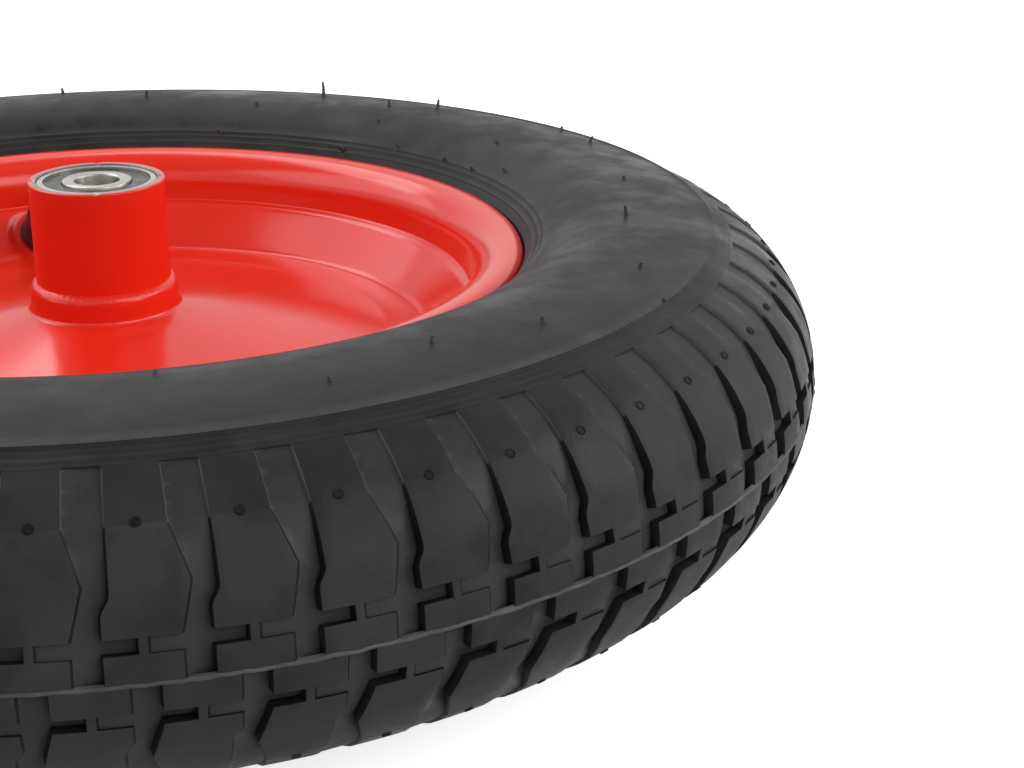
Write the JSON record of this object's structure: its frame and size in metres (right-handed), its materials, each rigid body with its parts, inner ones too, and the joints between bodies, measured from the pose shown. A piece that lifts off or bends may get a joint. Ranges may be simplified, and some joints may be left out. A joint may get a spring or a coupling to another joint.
{
  "type": "pneumatic wheelbarrow wheel",
  "caption": "Pneumatic barrow wheel: lug-tread rubber tyre on a pressed steel rim with a welded tube hub, shielded ball bearings and a side valve.",
  "frame": {"origin": "centre of the wheel, on the axle line in the plane where the two rim halves meet", "axes": "+Z along the axle line towards the side with the valve; +X is the direction from which the valve's angle is counted"},
  "size_m": [0.386, 0.386, 0.0948],
  "materials": {
    "tyre_rubber": "satin moulded rubber",
    "tube_rubber": "matt",
    "rim_paint": "gloss red paint",
    "bearing_steel": "ground",
    "pressed_steel": "pressed sheet",
    "ball_steel": "polished",
    "valve_rubber": "satin",
    "brass": "turned",
    "spring_steel": "drawn wire",
    "cap_plastic": "moulded"
  },
  "bodies": {
    "wheel": {"tyre": "tyre_rubber", "inner_tube": "tube_rubber", "rim_half_upper": "rim_paint", "rim_half_lower": "rim_paint", "hub_tube": "rim_paint", "hub_weld_upper": "rim_paint", "hub_weld_lower": "rim_paint", "outer_ring_upper": "bearing_steel", "outer_ring_lower": "bearing_steel", "outside_shield_upper": "pressed_steel", "outside_shield_lower": "pressed_steel", "inside_shield_upper": "pressed_steel", "inside_shield_lower": "pressed_steel", "valve_stem": "valve_rubber", "valve_insert": "brass", "valve_core": "brass", "valve_spring": "spring_steel"},
    "inner_race_upper": {"inner_ring_upper": "bearing_steel"},
    "inner_race_lower": {"inner_ring_lower": "bearing_steel"},
    "ball_set_upper": {"ball_cage_upper": "pressed_steel", "balls_upper": "ball_steel"},
    "ball_set_lower": {"ball_cage_lower": "pressed_steel", "balls_lower": "ball_steel"},
    "valve_plunger": {"valve_pin": "brass"},
    "dust_cap": {"valve_cap": "cap_plastic"}
  },
  "joints": [
    {"name": "inner_race_upper_spin", "type": "hinge", "parent": "wheel", "child": "inner_race_upper", "pos_m": [0, 0, 0.042], "axis": [0, 0, 1], "continuous": true},
    {"name": "ball_set_upper_orbit", "type": "hinge", "parent": "wheel", "child": "ball_set_upper", "pos_m": [0, 0, 0.042], "axis": [0, 0, 1], "continuous": true},
    {"name": "inner_race_lower_spin", "type": "hinge", "parent": "wheel", "child": "inner_race_lower", "pos_m": [0, 0, -0.042], "axis": [0, 0, 1], "continuous": true},
    {"name": "ball_set_lower_orbit", "type": "hinge", "parent": "wheel", "child": "ball_set_lower", "pos_m": [0, 0, -0.042], "axis": [0, 0, 1], "continuous": true},
    {"name": "valve_plunger_press", "type": "slide", "parent": "wheel", "child": "valve_plunger", "axis": [-0.157, 0.7718, -0.6161], "range_m": [0, 0.0012], "stiffness_N_per_m": 600, "springref_m": -0.002, "deforming": ["valve_spring"]},
    {"name": "dust_cap_lift", "type": "slide", "parent": "wheel", "child": "dust_cap", "axis": [0.157, -0.7718, 0.6161], "range_m": [0, 0.02]}
  ],
  "couplings": [
    {"joint": "ball_set_upper_orbit", "follows": "inner_race_upper_spin", "ratio": 0.36477},
    {"joint": "ball_set_lower_orbit", "follows": "inner_race_lower_spin", "ratio": 0.36477}
  ]
}
